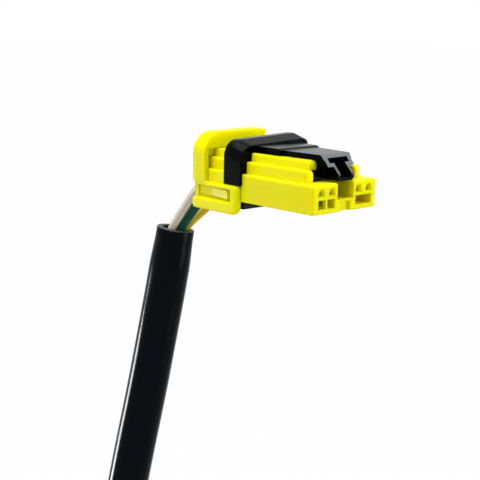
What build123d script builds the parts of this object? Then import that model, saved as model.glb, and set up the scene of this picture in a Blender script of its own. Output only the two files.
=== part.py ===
# Four-way airbag harness connector: a stepped housing with a spring-loaded sliding
# lock, a clip-on rear cover, and four wires that leave through a short black sleeve.
#
# Frame: +X points out of the mating face, +Y runs along the row, +Z is up.
# The origin is the middle of the mating face's bottom edge.  Sizes are in mm.
import os
from math import pi, radians, tan

from build123d import *

os.makedirs("parts", exist_ok=True)

# ---- terminal row ----
pitch = 2.5  # between the two cavities of one tower
inner_row = 3.225  # middle plane to a tower's inner cavity
cavity_width = 1.9
cavity_height = 1.95
cavity_roof = 0.375  # plastic above the cavities
front_wall = 1.2  # plastic in front of the terminals
funnel_width = 1.9  # lead-in, widest at its floor
funnel_height = 1.4
funnel_depth = 0.45
funnel_slope = 70  # degrees
entry_width = 0.95
entry_height = 0.95
entry_slope = 80

# ---- housing ----
side_wall = 1.925  # from the outer cavity's middle to the housing's side
base_height = 4.7
step_inset = 1.05
step_rise = 2.0
crown_inset = 1.1
crown_rise = 1.4
body_length = 26.9
step_setback = 2.5  # from the mating face back to the middle step
crown_setback = 3.65  # and back to the top step
end_round = 0.8
section_round = 0.35
tower_round = 0.4
lip_thickness = 1.55  # lips over the channel that the slider's block runs in
channel_wall = 0.35
slot_half = 3.2  # slot between the lips
stop_gap = 0.15  # left behind the band's spine when the slider is right back
gap_wall = 1.275  # from the inner cavity's middle to the gap between the towers
gap_length = 9.0
gap_floor = 2.0
keyway_half = 1.3
keyway_height = 1.6
keyway_depth = 0.6
bay_length = 4.9  # rear bay where the wires turn down
bay_wall = 0.8
pocket_margin = 0.725  # pockets for the shorting clips, beyond their two rows
pocket_floor = 0.75
pocket_top = 2.25
pocket_length = 8.6
partition_width = 0.35
partition_length = 0.8
lug_length = 4.6
lug_height = 1.5
lug_reach = 0.7
lug_root = 0.2  # how far the lug's outline starts inside the wall
lug_level = 0.85
lug_gap = 0.85  # from the cover's pillar to the lug

# ---- lock slider ----
slide_travel = 3.5
slide_gap = 0.08
band_front = 16.2
band_length = 4.05
band_wall = 0.45
band_rise_near = 1.98  # the band's top leans up to the far side
band_rise_far = 2.5
band_round_near = 2.8
band_round_far = 1.2
brow_depth = 2.6  # and falls away to the front
brow_drop = 0.75
leg_bottom = 2.7
plate_thickness = 0.87
plate_rear_half = 4.65
plate_front_half = 3.45
plate_tuck = 1.0  # how far the plate runs in under the band
shoulder_front = 10.4
shoulder_half = 4.75
shoulder_rise = 0.25
shoulder_ramp = 0.6
notch_length = 2.0
notch_depth = 0.8
block_front = 3.2
block_rear = 14.0
spine_half = 1.4
keel_height = 1.25  # bar that closes the slider under the housing
keel_inset = 0.45
nose_length = 4.6
nose_half = 3.15
nose_overhang = 0.9  # underside of the nose's wide part, below the housing's top
nose_wall = 0.55
nose_side = 0.77
nose_end_wall = 1.0
stem_gap = 0.24  # under the nose's stem
stem_round = 0.6
rake_top = 2.6
rake_middle = 1.1
rake_bottom = 0.05
rake_height = 1.1

# ---- slider springs ----
spring_wire = 0.22
spring_radius = 0.68
spring_row = 3.4
spring_turns = 8
peg_radius = 0.42
peg_length = 1.4

# ---- rear cover ----
cover_reach = 1.65  # how far the cover stands out behind the housing
hood_length = 3.85
cover_rise = 2.9  # hood's top above the housing's top
cover_wall = 0.95
cover_round = 3.8
cover_rear_round = 1.4
cover_gap = 0.05
hood_bottom = 2.45
web_setback = 0.8  # web between the hood and the housing's steps
web_thickness = 0.8
visor_half = 6.0  # from the middle to the end of the hood's front edge on the far side
relief_rise = 0.5  # far front corner that is cut away beyond that
relief_length = 2.4
rail_gap = 0.1  # below the slider's legs
rail_height = 0.85
pillar_front = 16.4
pillar_length = 1.9
bar_top = -0.3
bar_bottom = -2.35
bar_reach = 1.05  # how far the bar runs out behind the housing
bar_round = 0.4
loop_round = 0.7
window_round = 0.3
foot_round = 1.6
pillar_round = 0.8  # the pillar's front edge is rounder than the rest
hook_reach = 0.35  # lip of the bar under the housing's edge
hook_root = 0.9
strut_setback = 0.65  # from the cover's back to the strut's
strut_width = 0.9
strut_step = 0.75  # the strut lies inside the hood's side face
strut_top = 1.0
exit_inset = 0.15
exit_height = 1.45
exit_round = 0.6

# ---- terminals, clips and wires ----
terminal_width = 1.6
terminal_front = 1.35
terminal_length = 7.4
terminal_back = 1.0  # closed end of the box
pin_socket = 0.7
strip_width = 1.2
strip_thickness = 0.25
barrel_radius = 0.6
barrel_front = 11.2
barrel_length = 2.4
barrel_foot = 0.8
crimp_wall = 0.15
crimp_front = 14.8
crimp_length = 1.8
crimp_gap = 0.01
clip_thickness = 0.2
clip_front = 4.4
clip_crest = 1.0
clip_finger = 1.2
clip_bow = 0.4
clip_bend = 0.3
clip_slit = 0.5
clip_slit_rise = 0.6  # the slit's start above the pocket's floor
clip_land = 0.6
clip_play = 0.1
wire_diameter = 1.5
bare_diameter = 0.9
bare_length = 6.0

# ---- sleeve ----
sleeve_diameter = 7.6
sleeve_bore = 5.4
bundle_half = 0.82  # half the spacing of the wires in the sleeve
bundle_shift = 0.1  # the bundle lies to one side of the sleeve's mouth
wire_run = 4.8  # straight run of a wire behind its barrel
wire_dip = 0.03  # and how far it has dropped by then
corner_share = 0.45  # share of a run that a bend may take

# ---- places that follow from the sizes ----
cavity_rows = [-inner_row - pitch, -inner_row, inner_row, inner_row + pitch]
base_half = inner_row + pitch + side_wall
step_half = base_half - step_inset
crown_half = step_half - crown_inset
gap_half = inner_row - gap_wall
row_height = base_height - cavity_roof - cavity_height / 2
step_height = base_height + step_rise
crown_height = step_height + crown_rise
lip_height = crown_height - lip_thickness
channel_half = crown_half - channel_wall
channel_middle = (base_height + lip_height) / 2
channel_rear = band_front + band_length + slide_travel + stop_gap
bay_front = body_length - bay_length
bay_half = base_half - bay_wall
pocket_inner = inner_row - pocket_margin
pocket_outer = inner_row + pitch + pocket_margin
pocket_middle = inner_row + pitch / 2
pillar_rear = pillar_front + pillar_length
lug_front = pillar_rear + lug_gap
band_rear = band_front + band_length
band_half = base_half + slide_gap + band_wall
band_top_near = crown_height + band_rise_near
band_top_far = crown_height + band_rise_far
plate_bottom = crown_height + slide_gap
plate_top = plate_bottom + plate_thickness
plate_rear = band_front + plate_tuck
block_half = channel_half - 2 * slide_gap
nose_shelf = crown_height - nose_overhang
stem_half = gap_half - slide_gap
stem_bottom = base_height + stem_gap
keel_top = -slide_gap
keel_half = base_half - keel_inset
rail_top = leg_bottom - rail_gap
side_face = base_half + cover_gap
cover_half = side_face + cover_wall
cover_rear = body_length + cover_reach
cover_front = cover_rear - hood_length
cover_top = crown_height + cover_rise
hood_ceiling = cover_top - cover_wall
bar_rear = body_length + bar_reach
web_front = cover_front + web_setback
terminal_floor = row_height - terminal_width / 2
terminal_rear = terminal_front + terminal_length
crimp_rear = crimp_front + crimp_length
wire_start = barrel_front + barrel_length


def write(piece, name):
    """Label a finished piece and write it as one STEP file."""
    piece.part.label = name
    export_step(piece.part, f"parts/{name}.step")


def slab(low_y, high_y, low_z, high_z, mode=Mode.ADD):
    """Put a rectangle between two corners into the current sketch on a YZ plane."""
    with Locations(((low_y + high_y) / 2, (low_z + high_z) / 2)):
        return Rectangle(abs(high_y - low_y), high_z - low_z, mode=mode)


def stepped_outline(grow, floor, mode=Mode.ADD):
    """Put the housing's stepped section, widened by grow, into the current sketch."""
    for half, top in ((base_half, base_height), (step_half, step_height), (crown_half, crown_height)):
        slab(-half - grow, half + grow, floor, top + grow, mode)


def leaning_band(sketch, drop):
    """Put the band's outline, its top lowered by drop, into a sketch and round its shoulders."""
    Polygon(
        (-band_half, leg_bottom),
        (band_half, leg_bottom),
        (band_half, band_top_far - drop),
        (-band_half, band_top_near - drop),
        align=None,
    )
    for side, shoulder_round in ((0, band_round_near), (-1, band_round_far)):
        fillet(sketch.vertices().group_by(Axis.X)[side].sort_by(Axis.Y)[-1], shoulder_round)


# ---- housing: stepped block, towers, channel and cavities ----
with BuildPart() as housing:
    with BuildSketch(Plane.YZ.offset(-body_length)) as section:
        stepped_outline(0, 0)
        outer_corners = []
        for level in section.vertices().group_by(Axis.Y)[1:]:
            outer_corners += [level.sort_by(Axis.X)[0], level.sort_by(Axis.X)[-1]]
        fillet(outer_corners, section_round)
    extrude(amount=body_length - step_setback)
    with BuildSketch(Plane.YZ.offset(-step_setback)) as tower_section:
        slab(-base_half, base_half, 0, base_height)
        fillet(tower_section.vertices().group_by(Axis.Y)[-1], section_round)
    extrude(amount=step_setback)
    front_corners = housing.faces().sort_by(Axis.X)[-1].edges().filter_by(Axis.Z)
    fillet(front_corners, tower_round)
    # the top step stops short of the middle one, and both have rounded front ends
    with BuildSketch(Plane.YZ.offset(-crown_setback)):
        slab(-crown_half, crown_half, step_height, crown_height)
    extrude(amount=crown_setback - step_setback, mode=Mode.SUBTRACT)
    for low, high in ((base_height, step_height), (step_height, crown_height)):
        end_corners = housing.edges().filter_by(Axis.Z).filter_by_position(Axis.Z, low, high)
        fillet(end_corners.sort_by(Axis.X)[-2:], end_round)

    # T-shaped channel for the slider, open to the front
    with BuildSketch(Plane.YZ.offset(-channel_rear)):
        slab(-channel_half, channel_half, base_height, lip_height)
        slab(-slot_half, slot_half, lip_height, crown_height)
    extrude(amount=channel_rear, mode=Mode.SUBTRACT)
    # the lips end with the top step
    with BuildSketch(Plane.YZ.offset(-crown_setback)):
        slab(-channel_half, channel_half, lip_height, crown_height)
    extrude(amount=crown_setback, mode=Mode.SUBTRACT)
    # opening for the slider's spine, and the gap between the towers
    with BuildSketch(Plane.YZ.offset(-channel_rear)):
        slab(-spine_half - 2 * slide_gap, spine_half + 2 * slide_gap, 0, base_height)
    extrude(amount=channel_rear - band_front + 2 * slide_gap, mode=Mode.SUBTRACT)
    with BuildSketch(Plane.YZ.offset(-gap_length)):
        slab(-gap_half, gap_half, gap_floor, base_height)
    extrude(amount=gap_length, mode=Mode.SUBTRACT)
    with BuildSketch(Plane.YZ.offset(-keyway_depth)):
        slab(-keyway_half, keyway_half, 0, keyway_height)
    extrude(amount=keyway_depth, mode=Mode.SUBTRACT)
    # rear bay, open at the back and below, where the wires turn down
    with BuildSketch(Plane.YZ.offset(-body_length)):
        slab(-bay_half, bay_half, 0, row_height + cavity_height / 2)
    extrude(amount=bay_length, mode=Mode.SUBTRACT)

    for row in cavity_rows:
        with BuildSketch(Plane.YZ.offset(-bay_front)):
            with Locations((row, row_height)):
                Rectangle(cavity_width, cavity_height)
        extrude(amount=bay_front - front_wall, mode=Mode.SUBTRACT)
        # lead-in, then a small entry with a pointed roof
        with BuildSketch(Plane.YZ):
            with Locations((row, row_height)):
                Trapezoid(funnel_width, funnel_height, funnel_slope)
        with BuildSketch(Plane.YZ.offset(-funnel_depth)):
            with Locations((row, row_height)):
                Trapezoid(entry_width, entry_height, entry_slope)
        loft(mode=Mode.SUBTRACT)
        with BuildSketch(Plane.YZ.offset(-front_wall)):
            with BuildLine():
                Polyline(
                    (row - entry_width / 2, row_height - entry_height / 2),
                    (row + entry_width / 2, row_height - entry_height / 2),
                    (row + entry_width / 2, row_height),
                    (row, row_height + entry_height / 2),
                    (row - entry_width / 2, row_height),
                    close=True,
                )
            make_face()
        extrude(amount=front_wall, mode=Mode.SUBTRACT)

    for side in (-1, 1):
        # pocket below the terminals, with a window through to them
        with BuildSketch(Plane.YZ.offset(-pocket_length)):
            slab(side * pocket_inner, side * pocket_outer, pocket_floor, pocket_top)
        extrude(amount=pocket_length, mode=Mode.SUBTRACT)
        with BuildSketch(Plane.YZ.offset(-pocket_length)):
            slab(side * pocket_inner, side * pocket_outer, pocket_top, row_height)
        extrude(amount=pocket_length - 2 * front_wall, mode=Mode.SUBTRACT)
        # wedge lug that the cover's loop snaps over
        with BuildSketch(Plane.XY.offset(lug_level - lug_height / 2)):
            with BuildLine():
                Polyline(
                    (-lug_front, side * (base_half - lug_root)),
                    (-lug_front, side * (base_half + lug_reach)),
                    (-lug_front - lug_length, side * base_half),
                    (-lug_front - lug_length, side * (base_half - lug_root)),
                    close=True,
                )
            make_face()
        extrude(amount=lug_height)
    # the near tower's pocket is divided at its mouth
    with BuildSketch(Plane.YZ.offset(-partition_length)):
        slab(
            -pocket_middle - partition_width / 2,
            -pocket_middle + partition_width / 2,
            pocket_floor,
            pocket_top,
        )
    extrude(amount=partition_length)
write(housing, "housing")

# ---- lock slider: band round the housing, block, plate and T-shaped nose ----
with BuildPart() as lock_slider:
    with BuildSketch(Plane.YZ.offset(-band_rear)) as rear_section:
        leaning_band(rear_section, 0)
    extrude(amount=band_length - brow_depth)
    with BuildSketch(Plane.YZ.offset(-band_front - brow_depth)) as brow_section:
        leaning_band(brow_section, 0)
    with BuildSketch(Plane.YZ.offset(-band_front)) as front_section:
        leaning_band(front_section, brow_drop)
    loft(ruled=True)
    with BuildSketch(Plane.YZ.offset(-band_rear)):
        stepped_outline(slide_gap, 0)
    extrude(amount=band_length, mode=Mode.SUBTRACT)
    # spine through the housing, and the keel that closes the band below it
    with BuildSketch(Plane.YZ.offset(-band_rear)):
        slab(-spine_half, spine_half, keel_top - keel_height, plate_top)
        slab(-keel_half, keel_half, keel_top - keel_height, keel_top)
    extrude(amount=band_length)
    with BuildSketch(Plane.YZ.offset(-band_front)):
        slab(-spine_half, spine_half, base_height + slide_gap, plate_bottom)
    extrude(amount=band_front - block_rear)
    # block in the channel, and its neck between the lips
    with BuildSketch(Plane.YZ.offset(-block_rear)):
        slab(-block_half, block_half, base_height + slide_gap, lip_height - slide_gap)
        slab(-slot_half + slide_gap, slot_half - slide_gap, lip_height - slide_gap, plate_bottom)
    extrude(amount=block_rear - block_front)
    # tapering top plate, with a raised shoulder that ramps up to the band
    with BuildSketch(Plane.XY.offset(plate_bottom)):
        with BuildLine():
            Polyline(
                (-plate_rear, -plate_rear_half),
                (-step_setback, -plate_front_half),
                (-rake_middle, -nose_half),
                (-rake_middle, nose_half),
                (-step_setback, plate_front_half),
                (-plate_rear, plate_rear_half),
                close=True,
            )
        make_face()
    extrude(amount=plate_thickness)
    with BuildSketch(Plane.XZ.offset(-shoulder_half)):
        with BuildLine():
            Polyline(
                (-plate_rear, plate_bottom),
                (-shoulder_front, plate_bottom),
                (-shoulder_front, plate_top),
                (-shoulder_front - shoulder_ramp, plate_top + shoulder_rise),
                (-plate_rear, plate_top + shoulder_rise),
                close=True,
            )
        make_face()
    extrude(amount=2 * shoulder_half)
    # grip notches in the plate's sides
    for side in (-1, 1):
        with BuildSketch(Plane.XY.offset(plate_bottom)):
            with Locations((-shoulder_front + notch_length / 2, side * shoulder_half)):
                Rectangle(notch_length, 2 * notch_depth)
        extrude(amount=plate_thickness, mode=Mode.SUBTRACT)
    # nose: a T-shaped tube
    with BuildSketch(Plane.YZ.offset(-rake_bottom - nose_length)) as nose_section:
        slab(-nose_half, nose_half, nose_shelf, plate_top)
        slab(-stem_half, stem_half, stem_bottom, nose_shelf)
        fillet(nose_section.vertices().group_by(Axis.Y)[0], stem_round)
    extrude(amount=nose_length)
    with BuildSketch(Plane.YZ.offset(-rake_bottom - nose_length + nose_end_wall)):
        slab(-nose_half + nose_side, nose_half - nose_side, nose_shelf + nose_wall, plate_top - nose_wall)
        slab(-stem_half + nose_wall, stem_half - nose_wall, stem_bottom + nose_wall, nose_shelf + nose_wall)
    extrude(amount=nose_length, mode=Mode.SUBTRACT)
    # raked face of the nose
    with BuildSketch(Plane.XZ.offset(-band_half)):
        with BuildLine():
            Polyline(
                (-rake_top, plate_top),
                (-rake_middle, nose_shelf),
                (-rake_bottom, nose_shelf - rake_height),
                (0, nose_shelf - rake_height),
                (0, plate_top),
                close=True,
            )
        make_face()
    extrude(amount=2 * band_half, mode=Mode.SUBTRACT)
    # pegs that hold the springs
    with BuildSketch(Plane.YZ.offset(-block_rear)):
        with Locations((-spring_row, channel_middle), (spring_row, channel_middle)):
            Circle(peg_radius)
    extrude(amount=-peg_length)
write(lock_slider, "lock_slider")

# ---- two return springs behind the slider's block ----
spring_length = channel_rear - block_rear
spring_end = 0.6 * spring_wire  # the helix stops short of its seats by a little over half a wire
for side, name in ((-1, "near"), (1, "far")):
    with BuildPart() as slider_spring:
        with BuildLine() as coil:
            Helix(
                pitch=(spring_length - 2 * spring_end) / spring_turns,
                height=spring_length - 2 * spring_end,
                radius=spring_radius,
                center=(-channel_rear + spring_end, side * spring_row, channel_middle),
                direction=(1, 0, 0),
            )
        with BuildSketch(Plane(origin=coil.line @ 0, z_dir=coil.line % 0)):
            RegularPolygon(spring_wire / 2, 6)
        sweep(is_frenet=True)
    write(slider_spring, f"slider_spring_{name}")

# ---- rear cover: a snap loop on each side, and the hood over the wires ----
with BuildPart() as rear_cover:
    for side in (-1, 1):
        # rail, pillar and bar as one outline, seen from the side
        with BuildSketch(Plane.XZ.offset(-side * side_face)) as loop:
            with BuildLine():
                Polyline(
                    (-body_length, rail_top),
                    (-pillar_front, rail_top),
                    (-pillar_front, bar_bottom),
                    (-bar_rear, bar_bottom),
                    (-bar_rear, bar_top),
                    (-pillar_rear, bar_top),
                    (-pillar_rear, rail_top - rail_height),
                    (-body_length, rail_top - rail_height),
                    close=True,
                )
            make_face()
            fillet(loop.vertices().group_by(Axis.X)[-1].sort_by(Axis.Y)[0], foot_round)
            fillet(loop.vertices().group_by(Axis.X)[-1].sort_by(Axis.Y)[-1], loop_round)
            fillet(loop.vertices().group_by(Axis.X)[0], loop_round)
            window_corners = loop.vertices().filter_by(lambda corner: abs(corner.X + pillar_rear) < 0.01)
            fillet(window_corners, window_round)
        extrude(amount=-side * cover_wall)
        # round off the pillar's front edge
        with BuildSketch(Plane.XY.offset(bar_bottom)) as edge_cut:
            with Locations((-pillar_front, side * cover_half)):
                Rectangle(2 * pillar_round, 2 * pillar_round)
            with Locations((-pillar_front - pillar_round, side * (cover_half - pillar_round))):
                Circle(pillar_round, mode=Mode.SUBTRACT)
        extrude(amount=rail_top - bar_bottom, mode=Mode.SUBTRACT)
    for face in rear_cover.faces().sort_by(Axis.Y)[0], rear_cover.faces().sort_by(Axis.Y)[-1]:
        fillet(face.edges().sort_by(Axis.X)[:-1], bar_round)
    for side in (-1, 1):
        # lip of the bar under the housing's edge, and the strut that ties the bar to the hood
        with BuildSketch(Plane.YZ.offset(-body_length)):
            slab(side * (side_face - hook_reach), side * side_face, bar_top - hook_root, -cover_gap)
        extrude(amount=body_length - pillar_rear)
        with BuildSketch(Plane.YZ.offset(-cover_rear + strut_setback)):
            strut_outer = cover_half - strut_step
            slab(side * (strut_outer - strut_width), side * strut_outer, bar_top - hook_root, hood_bottom + strut_top)
        extrude(amount=cover_reach - cover_gap - strut_setback)
    with BuildSketch(Plane.YZ.offset(-cover_rear)) as hood_section:
        slab(-cover_half, cover_half, hood_bottom, cover_top)
        fillet(hood_section.vertices().group_by(Axis.Y)[-1], cover_round)
    extrude(amount=hood_length)
    rear_rim = rear_cover.faces().sort_by(Axis.X)[0].edges().group_by(Axis.Z)[1:]
    fillet([edge for level in rear_rim for edge in level], cover_rear_round)
    with BuildSketch(Plane.YZ.offset(-cover_rear + cover_wall)) as hollow:
        slab(-side_face, side_face, hood_bottom, hood_ceiling)
        fillet(hollow.vertices().group_by(Axis.Y)[-1], cover_round - cover_wall)
    extrude(amount=hood_length, mode=Mode.SUBTRACT)
    # web that closes the hood round the housing's steps, set back below the top one
    with BuildSketch(Plane.YZ.offset(-web_front - web_thickness)) as web:
        slab(-side_face, side_face, hood_bottom, hood_ceiling)
        fillet(web.vertices().group_by(Axis.Y)[-1], cover_round - cover_wall)
        stepped_outline(cover_gap, 0, Mode.SUBTRACT)
    extrude(amount=web_setback + web_thickness)
    with BuildSketch(Plane.YZ.offset(-web_front)):
        slab(-side_face, side_face, hood_bottom, crown_height + cover_gap)
    extrude(amount=web_setback, mode=Mode.SUBTRACT)
    # arch for the wires in the rear wall
    with BuildSketch(Plane.YZ.offset(-cover_rear)) as arch:
        slab(-bay_half + exit_inset, bay_half - exit_inset, hood_bottom, hood_bottom + exit_height)
        fillet(arch.vertices().group_by(Axis.Y)[-1], exit_round)
    extrude(amount=cover_wall, mode=Mode.SUBTRACT)
    # the far front corner is cut away
    with BuildSketch(Plane.YZ.offset(-cover_front - relief_length)):
        slab(visor_half, cover_half, crown_height + relief_rise, cover_top)
    extrude(amount=relief_length, mode=Mode.SUBTRACT)
write(rear_cover, "rear_cover")

# ---- shorting clips: one bent leaf under each pair of terminals ----
for side, name in ((-1, "near"), (1, "far")):
    with BuildPart() as shorting_clip:
        with BuildSketch(Plane.XZ.offset(-side * pocket_middle)):
            with BuildLine() as leaf:
                FilletPolyline(
                    (-pocket_length + clip_play, pocket_floor + clip_thickness / 2),
                    (-clip_front, pocket_floor + clip_thickness / 2),
                    (-clip_front, pocket_top - clip_bow),
                    (-clip_front - clip_crest, terminal_floor - clip_thickness),
                    (-pocket_length + clip_finger, pocket_top - clip_bow),
                    radius=clip_bend,
                )
            trace(line_width=clip_thickness)
        extrude(amount=(pocket_outer - pocket_inner) / 2 - clip_play, both=True)
        # slit between the two spring fingers
        with BuildSketch(Plane.XY.offset(pocket_floor + clip_slit_rise)):
            with Locations((-pocket_length, side * pocket_middle)):
                Rectangle(2 * (pocket_length - clip_front - clip_land), clip_slit)
        extrude(amount=row_height, mode=Mode.SUBTRACT)
    write(shorting_clip, f"shorting_clip_{name}")

# ---- terminals: box with a pin socket, carrier strip, two crimps ----
for number, row in enumerate(cavity_rows, 1):
    with BuildPart() as terminal:
        with BuildSketch(Plane.YZ.offset(-terminal_front)):
            with Locations((row, row_height)):
                Rectangle(terminal_width, terminal_width)
                Rectangle(pin_socket, pin_socket, mode=Mode.SUBTRACT)
        extrude(amount=-terminal_length)
        with BuildSketch(Plane.YZ.offset(-terminal_rear + terminal_back)):
            with Locations((row, row_height)):
                Rectangle(terminal_width, terminal_width)
        extrude(amount=-terminal_back)
        with BuildSketch(Plane.YZ.offset(-terminal_rear)):
            with Locations((row, terminal_floor + strip_thickness / 2)):
                Rectangle(strip_width, strip_thickness)
        extrude(amount=-(crimp_rear - terminal_rear))
        with BuildSketch(Plane.YZ.offset(-barrel_front)):
            with Locations((row, row_height)):
                Circle(barrel_radius)
            slab(row - barrel_foot / 2, row + barrel_foot / 2, terminal_floor, row_height)
        extrude(amount=-barrel_length)
        with BuildSketch(Plane.YZ.offset(-crimp_front)):
            with Locations((row, row_height)):
                Circle(wire_diameter / 2 + crimp_wall)
        extrude(amount=-crimp_length)
        with BuildSketch(Plane.YZ.offset(-wire_start)):
            with Locations((row, row_height)):
                Circle(wire_diameter / 2 + crimp_gap)
        extrude(amount=-(crimp_rear - wire_start), mode=Mode.SUBTRACT)
    write(terminal, f"terminal_{number}")

# ---- lead: sleeve and wires, laid out by hand ----
sleeve_route = [
    Vector(-37.5, -4.25, -8.3),
    Vector(-38.3, -5.4, -17.5),
    Vector(-38.5, -7.6, -27.5),
    Vector(-38.5, -10.2, -38.5),
    Vector(-38.8, -13.0, -50.0),
    Vector(-39.4, -15.5, -62.5),
    Vector(-40.0, -17.3, -76.5),
    Vector(-40.3, -18.3, -91.5),
    Vector(-40.2, -18.7, -107.0),
    Vector(-39.9, -18.7, -122.0),
]
tail_route = [Vector(-39.6, -18.7, -133.0), Vector(-39.4, -18.8, -143.0)]
across = Vector(0.686, 0.727, 0)
away = Vector(-0.727, 0.686, 0)
into_mouth = Vector(-1.0, -0.6, -1.8)  # from the middle of the mouth to the wires' first bend inside
# each wire: name, place in the bundle, spread of its free end, and its way to the mouth
wire_plan = [
    ("beige", (-1, -1), (-1.6, -0.6), [(-5.7, 3.0), (-5.65, 1.7), (-5.45, -2.6)], (23.4, 28.6, 32.8)),
    ("green", (1, -1), (0.9, -1.9), [(-3.25, 3.12), (-3.35, 1.5), (-3.65, -2.4)], (23.0, 27.6, 31.4)),
    ("yellow", (1, 1), (2.0, 0.8), [(3.15, 3.12), (2.35, 1.3), (0.4, -2.6)], (23.0, 27.6, 31.8)),
    ("black", (-1, 1), (-0.7, 2.0), [(5.65, 3.2), (4.5, 2.5), (1.1, -1.0)], (23.4, 29.0, 34.3)),
]


def corner_radii(route):
    """Largest even arc for each corner of a route, from its shorter run and its turn."""
    radii = []
    for before, corner, after in zip(route, route[1:], route[2:]):
        turn = (corner - before).get_angle(after - corner)
        shorter = min((corner - before).length, (after - corner).length)
        radii.append(corner_share * shorter / tan(radians(turn / 2)))
    return radii


def follow(route, outer, inner=0.0):
    """Sweep a round section, hollow if inner is set, along a route; return its length."""
    radii = corner_radii(route)
    with BuildLine() as line:
        FilletPolyline(*route, radius=radii)
    path = line.wires()[0]
    with BuildSketch(Plane(origin=path @ 0, z_dir=path % 0)) as ring:
        Circle(outer / 2)
        if inner:
            Circle(inner / 2, mode=Mode.SUBTRACT)
    sweep(sections=ring.sketch, path=path)
    return path.length, min(radii)


with BuildPart() as sleeve:
    sleeve_length, tightest = follow(sleeve_route, sleeve_diameter, sleeve_bore)
write(sleeve, "sleeve")
print(f"sleeve: {sleeve_length:.1f} mm long, tightest radius {tightest:.1f} mm, {sleeve.part.volume:.1f} mm3")

for (name, place, spread, way, stations), row in zip(wire_plan, cavity_rows):
    in_bundle = across * (place[0] * bundle_half + bundle_shift) + away * (place[1] * bundle_half)
    in_sleeve = across * (place[0] * bundle_half) + away * (place[1] * bundle_half)
    loose = in_sleeve + across * spread[0] + away * spread[1]
    route = [Vector(-wire_start, row, row_height), Vector(-wire_start - wire_run, row, row_height - wire_dip)]
    route += [Vector(-station, *point) for station, point in zip(stations, way)]
    route.append(sleeve_route[0] + in_bundle + into_mouth)
    route += [point + in_sleeve for point in sleeve_route[1:-1]]
    route.append(sleeve_route[-1] + in_sleeve)
    route.append(tail_route[0] + (in_sleeve + loose) * 0.5)
    route.append(tail_route[1] + loose)
    with BuildPart() as wire:
        wire_length, tightest = follow(route, wire_diameter)
    write(wire, f"wire_{name}")
    section_volume = wire_length * pi * wire_diameter**2 / 4
    print(f"wire_{name}: {wire_length:.1f} mm long, tightest radius {tightest:.1f} mm, "
          f"{wire.part.volume:.1f} of {section_volume:.1f} mm3")
    # stripped end of the conductor
    end = route[-1]
    with BuildPart() as bare_end:
        with BuildSketch(Plane(origin=end, z_dir=end - route[-2])):
            Circle(bare_diameter / 2)
        extrude(amount=bare_length)
    write(bare_end, f"bare_end_{name}")
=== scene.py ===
import math

import bmesh
import bpy
from mathutils import Matrix, Vector


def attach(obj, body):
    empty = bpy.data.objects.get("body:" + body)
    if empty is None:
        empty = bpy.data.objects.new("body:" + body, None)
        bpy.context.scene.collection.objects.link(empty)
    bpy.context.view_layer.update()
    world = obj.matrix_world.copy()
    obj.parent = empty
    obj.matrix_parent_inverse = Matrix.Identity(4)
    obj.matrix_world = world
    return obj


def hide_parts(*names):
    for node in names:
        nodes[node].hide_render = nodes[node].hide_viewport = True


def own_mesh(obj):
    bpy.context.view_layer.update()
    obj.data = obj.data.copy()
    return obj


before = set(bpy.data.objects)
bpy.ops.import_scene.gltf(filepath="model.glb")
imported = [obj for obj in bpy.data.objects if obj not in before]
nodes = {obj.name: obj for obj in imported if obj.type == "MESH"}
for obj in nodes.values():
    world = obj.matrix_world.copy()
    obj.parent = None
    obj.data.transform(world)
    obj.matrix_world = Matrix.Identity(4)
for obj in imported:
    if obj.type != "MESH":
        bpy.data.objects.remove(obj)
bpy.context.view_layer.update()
mm = 0.001
fullTurn = 2 * math.pi


class Feed:  # a node's output that can stand in sums
    def __init__(self, graph, socket):
        self.graph = graph
        self.socket = socket

    def join(self, operation, first, second):
        return self.graph.add("ShaderNodeMath", {"operation": operation}, {0: first, 1: second})

    def __add__(self, other):
        return self.join("ADD", self, other)

    __radd__ = __add__

    def __sub__(self, other):
        return self.join("SUBTRACT", self, other)

    def __rsub__(self, other):
        return self.join("SUBTRACT", other, self)

    def __mul__(self, other):
        return self.join("MULTIPLY", self, other)

    __rmul__ = __mul__

    def __or__(self, other):  # the larger of two masks
        return self.join("MAXIMUM", self, other)

    __ror__ = __or__


class Graph:  # a node tree with one way to add nodes
    def __init__(self, tree):
        self.tree = tree

    def plug(self, socket, value):  # a Feed is linked, anything else is set
        if isinstance(value, Feed):
            self.tree.links.new(value.socket, socket)
        else:
            socket.default_value = value

    def add(self, kind, settings=None, sockets=None, output=0):
        node = self.tree.nodes.new(kind)
        for key, value in (settings or {}).items():
            if key == "stops":
                for element, place in zip(node.color_ramp.elements, value):
                    element.position = place
            elif key == "easing":
                node.color_ramp.interpolation = value
            else:
                setattr(node, key, value)
        for key, value in (sockets or {}).items():
            self.plug(node.inputs[key], value)
        return Feed(self, node.outputs[output])

    def seenOrMirrored(self):  # 1 for camera, glossy and transmission rays, 0 for diffuse light
        rays = [f"Is {kind} Ray" for kind in ("Camera", "Glossy", "Transmission")]
        seen, mirrored, through = [self.add("ShaderNodeLightPath", output=ray) for ray in rays]
        return seen | mirrored | through


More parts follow.
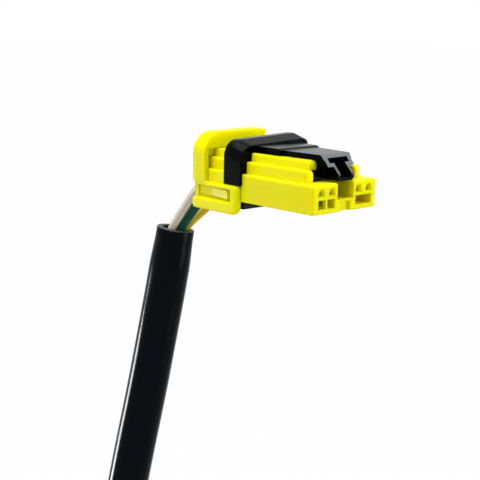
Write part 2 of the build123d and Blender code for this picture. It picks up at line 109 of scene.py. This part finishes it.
class Paint(Graph):  # one material, its sizes in mm
    def __init__(self, name, **sockets):
        self.material = bpy.data.materials.new(name)
        self.material.use_nodes = True
        super().__init__(self.material.node_tree)
        self.surface = self.tree.nodes["Principled BSDF"]
        for socket, value in sockets.items():
            self.give(socket.replace("_", " "), value)

    def give(self, socket, value):  # feed the main shader
        self.plug(self.surface.inputs[socket], value)

    def place(self, stretch):  # object coordinates, stretched
        where = self.add("ShaderNodeTexCoord", output="Object")
        return self.add("ShaderNodeMapping", {}, {"Vector": where, "Scale": stretch})

    def noise(self, size, stretch, detail, rough=0.5):
        sockets = {"Scale": 1 / (size * mm), "Detail": detail, "Roughness": rough}
        return self.add("ShaderNodeTexNoise", {}, {"Vector": self.place(stretch), **sockets})

    def ramp(self, factor, low, high, easing="LINEAR"):  # black up to low, white from high
        return self.add("ShaderNodeValToRGB", {"stops": (low, high), "easing": easing}, {"Fac": factor})

    def blend(self, factor, first, second):  # sockets 6 and 7 are the colours, output 2 is their mix
        sockets = {"Factor": factor, 6: first, 7: second}
        return self.add("ShaderNodeMix", {"data_type": "RGBA"}, sockets, 2)

    def relief(self, height, strength, depth, rounding=0):  # bump, with softened edges if wanted
        sockets = {"Height": height, "Strength": strength, "Distance": depth * mm}
        if rounding:
            sockets["Normal"] = self.add("ShaderNodeBevel", {"samples": 6}, {"Radius": rounding * mm})
        self.give("Normal", self.add("ShaderNodeBump", {}, sockets))


def rgb(red, green, blue):
    return (red, green, blue, 1)


# A finish holds each noise as (size, stretch, detail), "rough" as (lowest, added by the scuffs)
# and "relief" as (strength, depth) or (strength, depth, edge rounding).
def coat(name, finish, **sockets):
    paint = Paint(name, **sockets)
    paint.give("Base Color", paint.blend(paint.noise(*finish["cloud"]), finish["dark"], finish["light"]))
    lowest, added = finish["rough"]
    paint.give("Roughness", lowest + added * paint.noise(*finish["scuff"]))
    height = paint.noise(*finish["grain"])
    if "ripple" in finish:
        height = paint.noise(*finish["ripple"]) + finish["grainShare"] * height
    paint.relief(height, *finish["relief"])
    return paint


def dress(names, paint):  # give CAD nodes a finish
    for name in names:
        slots = nodes[name].data.materials
        slots.clear()
        slots.append(paint.material)


def addObject(name, data):  # put mesh, curve, camera or lamp data into the scene
    piece = bpy.data.objects.new(name, data)
    bpy.context.scene.collection.objects.link(piece)
    return piece


def addMesh(name, shape, paints, smooth=True):  # a bmesh becomes a piece with its finishes
    mesh = bpy.data.meshes.new(name)
    shape.to_mesh(mesh)
    shape.free()
    for paint in paints:
        mesh.materials.append(paint.material)
    for face in mesh.polygons:
        face.use_smooth = smooth
    return addObject(name, mesh)


camera = {
    "place": Vector((107.2, -125.27, 29.46)) * mm,
    "right": Vector((0.68611, 0.72724, 0.01926)),
    "up": Vector((-0.16315, 0.12801, 0.97826)),
    "back": Vector((0.70897, -0.67434, 0.20647)),
    "lens": 77.19,
    "sensor": 36,
    "nearest": 0.001,
    "farthest": 20,
}
eye = addObject("eye", bpy.data.cameras.new("eye"))
eye.data.sensor_width = camera["sensor"]
eye.data.lens = camera["lens"]
eye.data.clip_start = camera["nearest"]
eye.data.clip_end = camera["farthest"]
facing = Matrix((camera["right"], camera["up"], camera["back"])).transposed()
eye.matrix_world = Matrix.Translation(camera["place"]) @ facing.to_4x4()
bpy.context.scene.camera = eye
print("camera set")


def layRoute(name, points):  # a cord's own smooth spline through points in mm
    curve = bpy.data.curves.new(name, "CURVE")
    curve.dimensions = "3D"
    curve.resolution_u = 10
    spline = curve.splines.new("NURBS")
    spline.points.add(len(points) - 1)
    for spot, point in zip(points, spline.points):
        point.co = (*(Vector(spot) * mm), 1)
    spline.order_u = 3
    spline.use_endpoint_u = True
    return curve


def readRoute(curve):  # points along that spline
    guide = addObject(curve.name + "Guide", curve)
    bpy.context.view_layer.update()
    mesh = bpy.data.meshes.new_from_object(guide)
    path = [vertex.co.copy() for vertex in mesh.vertices]
    bpy.data.meshes.remove(mesh)
    bpy.data.objects.remove(guide)
    return path


def ringFrames(path):  # place, side and third direction at each point of a path, without twist
    frames = []
    side = None
    for index, spot in enumerate(path):
        before = path[max(index - 1, 0)]
        after = path[min(index + 1, len(path) - 1)]
        ahead = (after - before).normalized()
        if side is None:
            side = ahead.orthogonal().normalized()
        side = (side - ahead * side.dot(ahead)).normalized()
        frames.append((spot, side, ahead.cross(side)))
    return frames


# A skin over (frame, radius) rings, with a material slot for each stretch between two rings.
def sweepRings(shape, rings, sides, slots=None, closed=False):
    skins = []
    for (spot, side, over), radius in rings:
        angles = [fullTurn * step / sides for step in range(sides)]
        around = [side * math.cos(angle) * radius + over * math.sin(angle) * radius for angle in angles]
        skins.append([shape.verts.new(spot + offset) for offset in around])
    pairs = list(zip(skins, skins[1:])) + ([(skins[-1], skins[0])] if closed else [])
    for index, (low, high) in enumerate(pairs):
        for step in range(sides):
            following = (step + 1) % sides
            face = shape.faces.new((low[step], low[following], high[following], high[step]))
            face.material_index = slots[index] if slots else 0
    return skins


def sweepRod(shape, rings, sides):  # the same as a solid rod, with both ends capped
    skins = sweepRings(shape, rings, sides)
    shape.faces.new(skins[0][::-1])
    shape.faces.new(skins[-1])


# the glossy sleeve, from its upper rim down
sleeve = {
    "route": [
        (-37.5, -4.25, -8.3),
        (-38.3, -5.4, -17.5),
        (-38.5, -7.6, -27.5),
        (-38.5, -10.2, -38.5),
        (-38.8, -13.0, -50.0),
        (-39.4, -15.5, -62.5),
        (-40.0, -17.3, -76.5),
        (-40.3, -18.3, -91.5),
        (-40.2, -18.7, -107.0),
        (-39.9, -18.7, -122.0),
    ],
    "length": 115.1,
    "diameter": 7.6,
    "bore": 5.4,
    "rimDiameter": 7.0,  # at the upper rim, growing to the full diameter
    "rimTaper": 8.0,  # over this length
    "lipShare": 0.35,  # how far the lip bulges, as a share of half the wall
    "lipSteps": 6,
    "sides": 48,
    "shine": 0.04,
    "vinyl": {
        "dark": rgb(0.0008, 0.0016, 0.003),
        "light": rgb(0.0014, 0.0026, 0.0045),
        "cloud": (12, (1, 1, 0.3), 4),
        "rough": (0.1, 0.06),
        "scuff": (3, (1, 1, 0.2), 4),
        "ripple": (9, (1, 1, 0.35), 2),
        "grain": (0.8, (1, 1, 0.5), 3),
        "grainShare": 0.2,
        "relief": (0.3, 0.12),
    },
    "sawnShine": 0.4,
    "sawn": {
        "dark": rgb(0.02, 0.021, 0.023),
        "light": rgb(0.06, 0.062, 0.066),
        "cloud": (0.7, (1, 1, 1), 5),
        "rough": (0.45, 0.25),
        "scuff": (0.7, (1, 1, 1), 5),
        "grain": (0.7, (1, 1, 1), 5),
        "relief": (0.4, 0.08),
    },
}
sleeveVinyl = coat("sleeveVinyl", sleeve["vinyl"], Specular_IOR_Level=sleeve["shine"])
cutVinyl = coat("cutVinyl", sleeve["sawn"], Specular_IOR_Level=sleeve["sawnShine"])


def sleeveRings(path, frames):  # rings of the outside, narrower at the top rim, and of the bore
    wall = (sleeve["diameter"] - sleeve["bore"]) / 2 * mm
    outside = []
    inside = []
    gone = 0.0
    for index, frameHere in enumerate(frames):
        if index:
            gone += (path[index] - path[index - 1]).length
        ease = min(gone / (sleeve["rimTaper"] * mm), 1)
        ease = ease * ease * (3 - 2 * ease)
        diameter = sleeve["rimDiameter"] + (sleeve["diameter"] - sleeve["rimDiameter"]) * ease
        outside.append((frameHere, diameter / 2 * mm))
        inside.append((frameHere, diameter / 2 * mm - wall))
    return outside, inside


def softRim(outward, outer, inner):  # rounded lip from the outer ring to the inner one
    (spot, side, over), radius = outer
    half = (radius - inner[1]) / 2
    lip = []
    for step in range(1, sleeve["lipSteps"]):
        angle = math.pi * step / sleeve["lipSteps"]
        bulge = outward * math.sin(angle) * half * sleeve["lipShare"]
        lip.append(((spot + bulge, side, over), radius - half * (1 - math.cos(angle))))
    return lip


sleevePath = readRoute(layRoute("sleeveRoute", sleeve["route"]))
outside, inside = sleeveRings(sleevePath, ringFrames(sleevePath))
topLip = softRim((sleevePath[0] - sleevePath[1]).normalized(), outside[0], inside[0])
endLip = softRim((sleevePath[-1] - sleevePath[-2]).normalized(), outside[-1], inside[-1])
longFaces = [0] * (len(sleevePath) - 1)  # vinyl
rimFaces = [1] * sleeve["lipSteps"]  # sawn
shape = bmesh.new()
sweepRings(
    shape, outside + endLip + inside[::-1] + topLip[::-1], sleeve["sides"],
    longFaces + rimFaces + longFaces + rimFaces, closed=True,
)
bmesh.ops.recalc_face_normals(shape, faces=shape.faces)
tube = addMesh("sleeveTube", shape, [sleeveVinyl, cutVinyl])
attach(tube, "connector")
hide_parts("sleeve")
print("sleeve laid")

# what the four wires share
wires = {
    "diameter": 1.5,
    "crimp": -13.6,  # x of the end in the terminal
    "rowHeight": 3.35,
    "straight": 4.8,  # run out of the crimp before the bend
    "sag": 0.03,
    "across": Vector((0.686, 0.727, 0)),  # the bundle's two directions in the sleeve
    "away": Vector((-0.727, 0.686, 0)),
    "halfSpacing": 0.82,
    "mouthShift": 0.1,
    "mouthPull": Vector((-1, -0.6, -1.8)),
    "tail": [(-39.6, -18.7, -133.0), (-39.4, -18.8, -143.0)],  # below the sleeve
    "exit": -26.9,  # x of the housing's rear
    "exitHeight": 2.2,
    "shine": 0.12,
    "vinyl": {
        "cloud": (4, (1, 1, 0.25), 3),
        "rough": (0.34, 0.14),
        "scuff": (1.1, (1, 1, 0.4), 3),
        "grain": (0.6, (1, 1, 0.3), 4),
        "relief": (0.25, 0.03),
    },
}
# row: y in the housing, spot: quarter of the sleeve, spread: fan at the loose end, way: the bend
wirePlans = {
    "beige": {
        "row": -5.725, "spot": (-1, -1), "spread": (-1.6, -0.6), "length": 164.4,
        "way": [(-23.4, -5.7, 3.0), (-28.6, -5.65, 1.7), (-32.8, -5.45, -2.6)],
        "light": rgb(0.66, 0.62, 0.5), "dark": rgb(0.54, 0.5, 0.39),
    },
    "green": {
        "row": -3.225, "spot": (1, -1), "spread": (0.9, -1.9), "length": 163.5,
        "way": [(-23.0, -3.25, 3.12), (-27.6, -3.35, 1.5), (-31.4, -3.65, -2.4)],
        "light": rgb(0.001, 0.075, 0.045), "dark": rgb(0.001, 0.05, 0.03),
    },
    "yellow": {
        "row": 3.225, "spot": (1, 1), "spread": (2.0, 0.8), "length": 165.2,
        "way": [(-23.0, 3.15, 3.12), (-27.6, 2.35, 1.3), (-31.8, 0.4, -2.6)],
        "light": rgb(0.8, 0.6, 0.03), "dark": rgb(0.66, 0.45, 0.02),
    },
    "black": {
        "row": 5.725, "spot": (-1, 1), "spread": (-0.7, 2.0), "length": 168.6,
        "way": [(-23.4, 5.65, 3.2), (-29.0, 4.5, 2.5), (-34.3, 1.1, -1.0)],
        "light": rgb(0.02, 0.02, 0.022), "dark": rgb(0.012, 0.012, 0.013),
    },
}
# the stripped end of each wire
strands = {
    "count": 7,  # one in the middle, the others round it
    "diameter": 0.3,
    "length": 6.0,
    "stagger": 0.15,  # every second strand is this much shorter
    "pitch": 5.5,
    "steps": 24,
    "sides": 10,
    "tipShare": 0.3,  # radius of the blunt tip
    "copper": {
        "dark": rgb(0.66, 0.3, 0.14),
        "light": rgb(0.82, 0.47, 0.28),
        "cloud": (1.2, (1, 1, 0.4), 4),
        "rough": (0.22, 0.25),
        "scuff": (1.2, (1, 1, 0.4), 4),
        "grain": (1.2, (1, 1, 0.4), 4),
        "relief": (0.2, 0.02),
    },
}
copper = coat("copperStrand", strands["copper"], Metallic=1.0)


def offset(first, second):  # a shift across the lead
    return wires["across"] * first + wires["away"] * second


def wireRoute(plan):  # from the crimp, round the bend and down the sleeve to the loose end
    inSleeve = offset(*plan["spot"]) * wires["halfSpacing"]
    inMouth = inSleeve + wires["across"] * wires["mouthShift"] + wires["mouthPull"]
    loose = inSleeve + offset(*plan["spread"])
    bend, last = wires["tail"]
    return [
        (wires["crimp"], plan["row"], wires["rowHeight"]),
        (wires["crimp"] - wires["straight"], plan["row"], wires["rowHeight"] - wires["sag"]),
        *plan["way"],
        Vector(sleeve["route"][0]) + inMouth,
        *[Vector(spot) + inSleeve for spot in sleeve["route"][1:]],
        Vector(bend) + (inSleeve + loose) / 2,
        Vector(last) + loose,
    ]


def layWire(name, plan, route):  # one insulated wire as a round curve
    title = "wire" + name.capitalize()
    curve = layRoute(title, route)
    curve.bevel_depth = wires["diameter"] / 2 * mm
    curve.bevel_resolution = 6
    curve.use_fill_caps = True
    finish = {**wires["vinyl"], "dark": plan["dark"], "light": plan["light"]}
    insulation = coat(name + "Insulation", finish, Specular_IOR_Level=wires["shine"])
    curve.materials.append(insulation.material)
    cable = addObject(title, curve)
    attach(cable, "connector")
    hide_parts(f"wire_{name}")
    return cable


def twistStrands(name, route):  # bare strands out of the cut insulation
    end = Vector(route[-1]) * mm
    ahead = (end - Vector(route[-2]) * mm).normalized()
    side = ahead.orthogonal().normalized()
    over = ahead.cross(side)
    radius = strands["diameter"] / 2 * mm
    shape = bmesh.new()
    for strand in range(strands["count"]):
        twist = 0 if strand == 0 else strands["diameter"] * mm
        length = strands["length"] - (strands["stagger"] if strand % 2 else 0)
        path = []
        for step in range(strands["steps"] + 1):
            along = step / strands["steps"] * length * mm
            angle = fullTurn * (strand / (strands["count"] - 1) + along / (strands["pitch"] * mm))
            path.append(end + ahead * along + (side * math.cos(angle) + over * math.sin(angle)) * twist)
        frames = ringFrames(path)
        rings = [(frameHere, radius) for frameHere in frames]
        rings.insert(0, (frames[0], radius * strands["tipShare"]))
        rings.append((frames[-1], radius * strands["tipShare"]))
        sweepRod(shape, rings, strands["sides"])
    bmesh.ops.recalc_face_normals(shape, faces=shape.faces)
    tip = addMesh("strands" + name.capitalize(), shape, [copper])
    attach(tip, "connector")
    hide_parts(f"bare_end_{name}")
    return tip


for name, plan in wirePlans.items():
    route = wireRoute(plan)
    cable = layWire(name, plan, route)
    tip = twistStrands(name, route)
print("wires laid")

# the moulded yellow parts
yellow = {
    "housing": {
        "dark": rgb(0.87, 0.79, 0.003), "light": rgb(0.85, 0.83, 0.006), "translucent": 0.7, "depth": 1.2,
    },
    "cover": {
        "dark": rgb(1.0, 0.8, 0.0005), "light": rgb(1.0, 0.9, 0.001), "translucent": 1.0, "depth": 1.6,
    },
    "scatter": (1, 0.6, 0.02),  # how far red, green and blue light travel inside
    "shine": 0.02,
    "cloud": (9, (1, 1, 1), 4),
    "cloudEdges": (0.3, 0.7),
    "flow": (1.6, (0.12, 1, 1), 4),  # faint streaks along the mould
    "grain": (0.22, (1, 1, 1), 2),
    "rough": (0.26, 0.1, 0.05),  # lowest, added by the flow, added by the grain
    "flowShare": 0.7,
    "grainShare": 0.3,
    "relief": (0.12, 0.05, 0.16),
}


def yellowPlastic(name, shade):
    paint = Paint(
        name, Specular_IOR_Level=yellow["shine"], Subsurface_Weight=shade["translucent"],
        Subsurface_Scale=shade["depth"] * mm, Subsurface_Radius=yellow["scatter"],
    )
    cloud = paint.ramp(paint.noise(*yellow["cloud"]), *yellow["cloudEdges"], "EASE")
    paint.give("Base Color", paint.blend(cloud, shade["dark"], shade["light"]))
    flow = paint.noise(*yellow["flow"])
    grain = paint.noise(*yellow["grain"])
    lowest, byFlow, byGrain = yellow["rough"]
    paint.give("Roughness", lowest + byFlow * flow + byGrain * grain)
    paint.relief(yellow["flowShare"] * flow + yellow["grainShare"] * grain, *yellow["relief"])
    return paint


dress(["housing"], yellowPlastic("housingPlastic", yellow["housing"]))
dress(["rear_cover"], yellowPlastic("coverPlastic", yellow["cover"]))
print("yellow plastic done")

# the black lock slider
slider = {
    "clean": rgb(0.0002, 0.0007, 0.001),
    "dusty": rgb(0.001, 0.003, 0.0036),
    # pale grey of the painted highlight on the nose rim
    "paintedRimHighlight": rgb(0.17, 0.19, 0.19),
    "shine": 0.035,
    "haze": (3, (0.5, 1, 1), 5, 0.6),
    "hazeEdges": (0.42, 0.68),
    "fine": (0.25, (1, 1, 1), 3),
    "rough": (0.11, 0.05, 0.03),  # lowest, added by the haze, added by the fine grain
    "hazeShare": 0.6,
    "fineShare": 0.4,
    "relief": (0.15, 0.06, 0.22),
    # the nose's front rim gets a pale painted highlight: from this x on, above this z, where it faces
    # forward
    "rimStart": -2.75,
    "rimFade": 0.1,
    "rimBottom": 5.7,
    "rimRise": 0.6,
    "facing": (0.6, 0.75),
}
sliderPlastic = Paint("sliderPlastic", Specular_IOR_Level=slider["shine"])
haze = sliderPlastic.noise(*slider["haze"])
fine = sliderPlastic.noise(*slider["fine"])
dust = sliderPlastic.ramp(haze, *slider["hazeEdges"], "EASE")
plain = sliderPlastic.blend(dust, slider["clean"], slider["dusty"])
place = sliderPlastic.place((1 / mm, 1 / mm, 1 / mm))  # in mm
outward = sliderPlastic.add("ShaderNodeTexCoord", output="Normal")
spotX = sliderPlastic.add("ShaderNodeSeparateXYZ", {}, {0: place}, "X")
spotZ = sliderPlastic.add("ShaderNodeSeparateXYZ", {}, {0: place}, "Z")
outwardX = sliderPlastic.add("ShaderNodeSeparateXYZ", {}, {0: outward}, "X")
# mask of the painted highlight on the nose rim: near the tip, high up, facing forward
atTip = sliderPlastic.ramp(spotX - slider["rimStart"], 0, slider["rimFade"])
above = sliderPlastic.ramp(spotZ - slider["rimBottom"], 0, slider["rimRise"])
forward = sliderPlastic.ramp(outwardX, *slider["facing"])
sliderPlastic.give("Base Color", sliderPlastic.blend(atTip * forward * above, plain, slider["paintedRimHighlight"]))
lowest, byHaze, byFine = slider["rough"]
sliderPlastic.give("Roughness", lowest + byHaze * haze + byFine * fine)
sliderPlastic.relief(slider["hazeShare"] * haze + slider["fineShare"] * fine, *slider["relief"])
dress(["lock_slider"], sliderPlastic)
print("slider done")

# springs, shorting clips and terminals
metals = {
    "springWire": {
        "dark": rgb(0.52, 0.53, 0.55), "light": rgb(0.66, 0.67, 0.69), "rough": 0.22, "stretch": (0.2, 1, 1),
    },
    "clipBronze": {
        "dark": rgb(0.6, 0.36, 0.14), "light": rgb(0.74, 0.5, 0.25), "rough": 0.26, "stretch": (0.1, 1, 1),
    },
    # tin painted dark grey, as painted shade inside the deep terminal entries
    "terminalTin": {
        "dark": rgb(0.2, 0.19, 0.18), "light": rgb(0.34, 0.33, 0.31), "rough": 0.3, "stretch": (0.15, 1, 1),
    },
}
plating = {
    "drawnSize": 0.9,  # lines along the strip or wire
    "drawnDetail": 4,
    "fineSize": 0.2,
    "fineDetail": 3,
    "roughAdded": 0.2,
    "relief": (0.2, 0.02, 0.04),
}


def plated(name):
    metal = metals[name]
    drawn = (plating["drawnSize"], metal["stretch"], plating["drawnDetail"])
    fine = (plating["fineSize"], metal["stretch"], plating["fineDetail"])
    finish = {
        "dark": metal["dark"], "light": metal["light"], "cloud": drawn, "scuff": drawn, "grain": fine,
        "rough": (metal["rough"], plating["roughAdded"]), "relief": plating["relief"],
    }
    return coat(name, finish, Metallic=1.0)


springWire = plated("springWire")
dress(["shorting_clip_near", "shorting_clip_far"], plated("clipBronze"))
# the terminals get the darkened tin, painted shade for their entries
dress(["terminal_1", "terminal_2", "terminal_3", "terminal_4"], plated("terminalTin"))

# the slider's two return springs
spring = {
    "rows": {"near": -3.4, "far": 3.4},
    "seat": -23.9,
    "length": 9.9,
    "height": 5.625,
    "radius": 0.68,
    "wire": 0.22,
    "turns": 8,
    "stepsPerTurn": 24,
    "sides": 10,
    "travel": 3.5,  # of the slider
}


def coilPath(row):  # the middle of the wire, from the seat forwards
    steps = spring["turns"] * spring["stepsPerTurn"]
    path = []
    for step in range(steps + 1):
        share = step / steps
        angle = share * spring["turns"] * fullTurn
        path.append(Vector((
            spring["seat"] + spring["wire"] / 2 + share * (spring["length"] - spring["wire"]),
            row + spring["radius"] * math.cos(angle),
            spring["height"] + spring["radius"] * math.sin(angle),
        )) * mm)
    return path


for name, row in spring["rows"].items():
    rings = [(frameHere, spring["wire"] / 2 * mm) for frameHere in ringFrames(coilPath(row))]
    shape = bmesh.new()
    sweepRod(shape, rings, spring["sides"])
    bmesh.ops.recalc_face_normals(shape, faces=shape.faces)
    coil = addMesh("returnSpring" + name.capitalize(), shape, [springWire])
    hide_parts(f"slider_spring_{name}")
    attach(coil, "connector")
    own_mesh(coil)
print("metal parts done")

# floor, world and lamps, in metres
studio = {
    "floor": -0.1495,
    "reach": 8.0,
    "white": rgb(1, 1, 1),
    "floorDark": rgb(0.5, 0.5, 0.5),
    "floorLight": rgb(0.54, 0.54, 0.54),
    "mottle": (50, (1, 1, 1), 2),
    "floorRough": 0.9,
    "floorShine": 0.1,
    "glow": 0.985,  # how far the floor is lit up where it is seen or mirrored
    "worldLight": 0.25,
    "worldSeen": 1.0,
}
shape = bmesh.new()
bmesh.ops.create_grid(shape, x_segments=4, y_segments=4, size=studio["reach"])
bmesh.ops.translate(shape, verts=shape.verts, vec=(0, 0, studio["floor"]))
floorPaint = Paint("paleFloor", Roughness=studio["floorRough"], Specular_IOR_Level=studio["floorShine"])
mottle = floorPaint.noise(*studio["mottle"])
floorPaint.give("Base Color", floorPaint.blend(mottle, studio["floorDark"], studio["floorLight"]))
matte = Feed(floorPaint, floorPaint.surface.outputs[0])
glow = floorPaint.add("ShaderNodeEmission", {}, {"Color": studio["white"], "Strength": 1.0})
lit = studio["glow"] * floorPaint.seenOrMirrored()
mixed = floorPaint.add("ShaderNodeMixShader", {}, {0: lit, 1: matte, 2: glow})
floorPaint.plug(floorPaint.tree.nodes["Material Output"].inputs["Surface"], mixed)
addMesh("floor", shape, [floorPaint], smooth=False)

world = bpy.data.worlds.new("studio")
world.use_nodes = True
bpy.context.scene.world = world
sky = Graph(world.node_tree)
sky.tree.nodes.remove(sky.tree.nodes["Background"])
dim = sky.add("ShaderNodeBackground", {}, {"Color": studio["white"], "Strength": studio["worldLight"]})
bright = sky.add("ShaderNodeBackground", {}, {"Color": studio["white"], "Strength": studio["worldSeen"]})
picked = sky.add("ShaderNodeMixShader", {}, {0: sky.seenOrMirrored(), 1: dim, 2: bright})
sky.plug(sky.tree.nodes["World Output"].inputs["Surface"], picked)

lamps = {
    "overhead": {
        "place": (-0.05, -0.06, 0.42), "aim": (-0.015, 0, 0), "size": (0.45, 0.45), "power": 2.6,
        "inGloss": True, "onMatte": True,
    },
    "left": {
        "place": (-0.279, -0.135, -0.085), "aim": (-0.04, -0.01, -0.05), "size": (0.08, 0.095), "power": 1.3,
        "inGloss": True, "onMatte": False,
    },
    "fill": {
        "place": (0.0, -0.36, 0.09), "aim": (-0.02, 0, 0), "size": (0.3, 0.3), "power": 0.5,
        "inGloss": False, "onMatte": True,
    },
    "right": {
        "place": (0.31, 0.2, 0.06), "aim": (-0.02, 0, 0), "size": (0.2, 0.38), "power": 1.1,
        "inGloss": True, "onMatte": True,
    },
}
for name, lamp in lamps.items():
    light = bpy.data.lights.new(name, "AREA")
    light.shape = "RECTANGLE"
    light.size, light.size_y = lamp["size"]
    light.energy = lamp["power"]
    holder = addObject(name, light)
    holder.visible_camera = False
    holder.visible_glossy = lamp["inGloss"]
    holder.visible_diffuse = lamp["onMatte"]
    beam = Vector(lamp["aim"]) - Vector(lamp["place"])
    aimed = beam.to_track_quat("-Z", "Y").to_matrix().to_4x4()
    holder.matrix_world = Matrix.Translation(lamp["place"]) @ aimed
bpy.context.scene.view_settings.view_transform = "Standard"
print("studio set")
